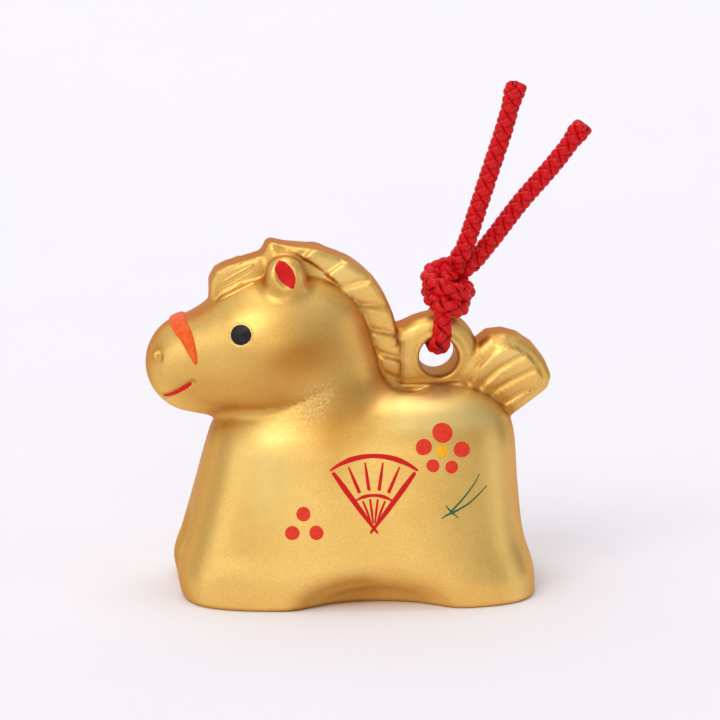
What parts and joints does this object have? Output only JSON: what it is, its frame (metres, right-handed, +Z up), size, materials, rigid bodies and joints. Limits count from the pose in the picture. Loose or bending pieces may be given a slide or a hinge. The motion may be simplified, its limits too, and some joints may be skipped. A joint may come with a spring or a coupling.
{
  "type": "clay bell ornament",
  "caption": "Hollow clay bell in the form of a standing horse, gold painted, with a loose clay ball inside, a slot mouth underneath and a braided cord knotted through an eyelet on its back.",
  "frame": {"origin": "on the flat underside, below the middle of the clay body", "axes": "+Z up, the horse looks toward -X, +Y is its right flank as seen from the tail, and the painted flank faces -Y"},
  "size_m": [0.0776, 0.041, 0.089],
  "materials": {
    "gold_clay": "satin gold paint with a fine grain over fired clay",
    "bare_clay": "unglazed, matt",
    "red_braid": "soft round braid, matt with a slight sheen"
  },
  "bodies": {
    "bell": {"bell_body": "gold_clay"},
    "ball": {"rattle_ball": "bare_clay"},
    "cord": {"cord_loop": "red_braid", "cord_knot": "red_braid", "cord_end_left": "red_braid", "cord_end_right": "red_braid"}
  },
  "joints": [
    {"name": "ball_roll", "type": "slide", "parent": "bell", "child": "ball", "axis": [1, 0, 0], "range_m": [-0.0375, 0.0004]},
    {"name": "cord_swing", "type": "hinge", "parent": "bell", "child": "cord", "pos_m": [0.01588, 0, 0.0408], "axis": [0, 1, 0], "range_deg": [-27, 32]}
  ]
}
